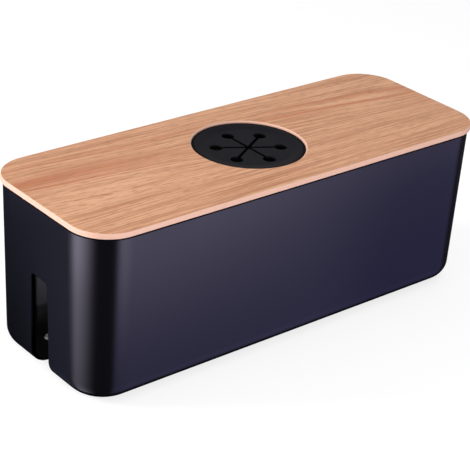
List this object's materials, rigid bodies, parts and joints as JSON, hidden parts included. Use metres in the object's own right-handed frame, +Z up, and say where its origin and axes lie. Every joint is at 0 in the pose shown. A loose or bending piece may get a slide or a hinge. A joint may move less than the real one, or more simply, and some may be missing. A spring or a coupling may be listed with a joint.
{
  "type": "cable management box",
  "caption": "Long rounded box that hides a power strip: drafted tub with a cable slot in each end, lift-off wood-veneered lid and a slit silicone cable grommet in the lid.",
  "frame": {"origin": "on the surface the box stands on, under the middle of the box", "axes": "+X along the box, +Y to the back, +Z up through the lid and its grommet"},
  "size_m": [0.32, 0.118, 0.1183],
  "materials": {
    "tub_plastic": "satin gloss blue-black ABS",
    "foot_rubber": "matte pale rubber",
    "backing_sheet": "plain matte laminate",
    "core_board": "pale lacquered board edge",
    "wood_veneer": "satin oak veneer, grain along X",
    "frame_plastic": "moulded matte black ABS",
    "screw_steel": "zinc plated",
    "grommet_silicone": "matte black silicone"
  },
  "bodies": {
    "tub": {"tub": "tub_plastic", "foot_front_left": "foot_rubber", "foot_front_right": "foot_rubber", "foot_rear_left": "foot_rubber", "foot_rear_right": "foot_rubber"},
    "lid": {"lid_backing_sheet": "backing_sheet", "lid_core_board": "core_board", "lid_wood_veneer": "wood_veneer", "lid_frame": "frame_plastic", "lid_screws": "screw_steel"},
    "grommet": {"cable_grommet": "grommet_silicone"}
  },
  "joints": [
    {"name": "lid_lift", "type": "slide", "parent": "tub", "child": "lid", "axis": [0, 0, 1], "range_m": [0, 0.15]},
    {"name": "grommet_pull", "type": "slide", "parent": "lid", "child": "grommet", "axis": [0, 0, 1], "range_m": [0, 0.03]}
  ]
}
